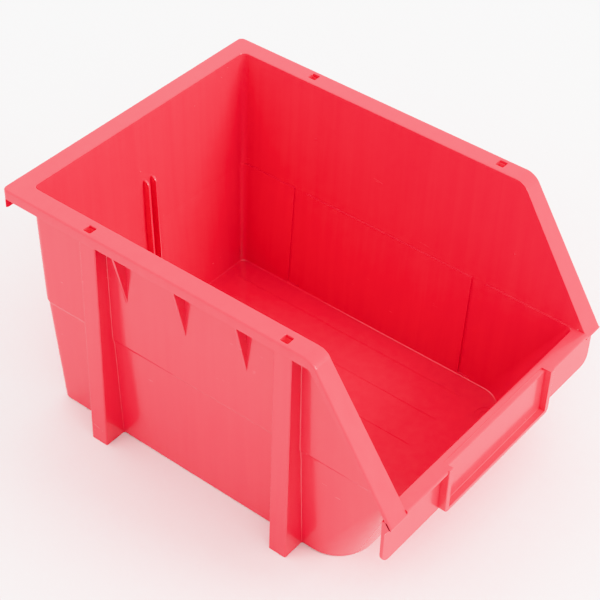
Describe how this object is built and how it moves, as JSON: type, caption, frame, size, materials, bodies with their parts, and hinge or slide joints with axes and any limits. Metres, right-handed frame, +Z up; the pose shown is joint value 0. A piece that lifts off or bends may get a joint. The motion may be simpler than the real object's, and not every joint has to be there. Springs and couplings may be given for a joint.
{
  "type": "stackable storage bin",
  "caption": "Open-fronted stacking parts bin with a rolled rim, hollow side posts, ribbed flanges, a sloping mouth, a rear hanging lip and a front label holder.",
  "frame": {"origin": "centre of the bounding box's footprint, on the ground under the floor", "axes": "+X to the bin's right side seen from its open front, +Y towards the back with the hanging lip, +Z up"},
  "size_m": [0.2, 0.2664, 0.155],
  "materials": {
    "moulding": "semi-gloss moulded red polypropylene with a fine grain"
  },
  "bodies": {
    "root": {"floor_panel": "moulding", "back_wall": "moulding", "front_wall": "moulding", "rim_back": "moulding", "hanging_lip": "moulding", "front_ledge": "moulding", "label_panel": "moulding", "label_bar_bottom": "moulding", "side_wall_left": "moulding", "corner_front_left": "moulding", "corner_rear_left": "moulding", "rim_left": "moulding", "rim_slope_left": "moulding", "skirt_left": "moulding", "skirt_slope_left": "moulding", "post_rear_left": "moulding", "post_front_left": "moulding", "gusset_left_1": "moulding", "gusset_left_2": "moulding", "gusset_left_3": "moulding", "front_flange_left": "moulding", "label_bar_left": "moulding", "back_rib_left": "moulding", "side_wall_right": "moulding", "corner_front_right": "moulding", "corner_rear_right": "moulding", "rim_right": "moulding", "rim_slope_right": "moulding", "skirt_right": "moulding", "skirt_slope_right": "moulding", "post_rear_right": "moulding", "post_front_right": "moulding", "gusset_right_1": "moulding", "gusset_right_2": "moulding", "gusset_right_3": "moulding", "front_flange_right": "moulding", "label_bar_right": "moulding", "back_rib_right": "moulding"}
  },
  "joints": []
}
